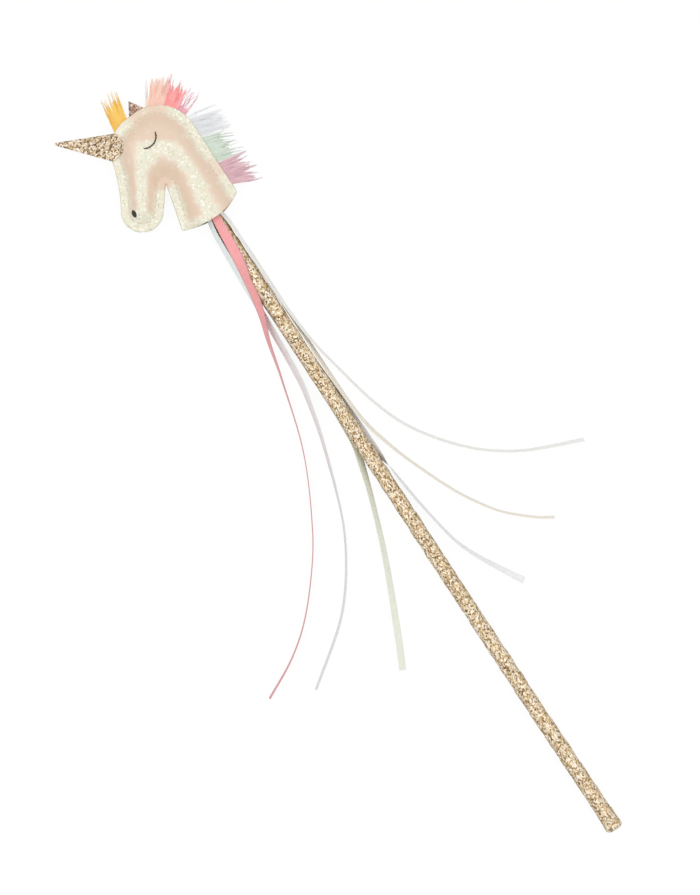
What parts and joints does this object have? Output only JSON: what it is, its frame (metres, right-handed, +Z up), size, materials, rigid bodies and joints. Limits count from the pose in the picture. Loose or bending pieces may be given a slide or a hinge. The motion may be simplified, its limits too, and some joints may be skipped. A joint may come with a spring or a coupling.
{
  "type": "toy magic wand",
  "caption": "Pretend-play wand: a stuffed glitter unicorn head with a padded horn and frayed ribbon mane on a gold fabric stick, with long ribbon streamers tied on at the neck.",
  "frame": {"origin": "on the floor under the middle of the wand's bounding box, ribbon streamers left out, with the wand lying on its back", "axes": "+Y runs up the stick to the head, +X to the nape and mane, +Z up out of the face"},
  "size_m": [0.2239, 0.491, 0.0143],
  "materials": {
    "wood": "plain turned dowel",
    "gold_fabric": "gold metallic weave",
    "binding_thread": "wound thread",
    "coral_ribbon": "satin",
    "lilac_grey_ribbon": "satin",
    "mint_ribbon": "satin",
    "lilac_ribbon": "satin",
    "cream_ribbon": "satin",
    "white_ribbon": "satin",
    "pearl_leatherette": "pearl glitter leatherette",
    "stuffing": "polyester wadding",
    "dark_thread": "embroidery thread",
    "gold_glitter": "coarse glitter fabric",
    "rose_glitter": "coarse glitter fabric",
    "yellow_ribbon": "frayed satin",
    "blush_ribbon": "frayed satin",
    "rose_ribbon": "frayed satin",
    "mauve_ribbon": "frayed satin",
    "mint_mane": "frayed satin"
  },
  "bodies": {
    "root": {"stick_core": "wood", "stick_cover": "gold_fabric", "stick_end_wrap": "gold_fabric", "ribbon_binding": "binding_thread", "ribbon_coral": "coral_ribbon", "ribbon_lilac_grey": "lilac_grey_ribbon", "ribbon_mint": "mint_ribbon", "ribbon_lilac": "lilac_ribbon", "ribbon_cream": "cream_ribbon", "ribbon_white": "white_ribbon", "head_front_panel": "pearl_leatherette", "head_back_panel": "pearl_leatherette", "head_stuffing": "stuffing", "eye_stitch": "dark_thread", "nostril_stitch": "dark_thread", "horn_front_panel": "gold_glitter", "horn_back_panel": "gold_glitter", "horn_stuffing": "stuffing", "ear": "rose_glitter", "forelock_yellow": "yellow_ribbon", "mane_blush": "blush_ribbon", "mane_coral": "coral_ribbon", "mane_rose": "rose_ribbon", "mane_lilac": "lilac_grey_ribbon", "mane_mint": "mint_mane", "mane_mauve": "mauve_ribbon"}
  },
  "joints": []
}
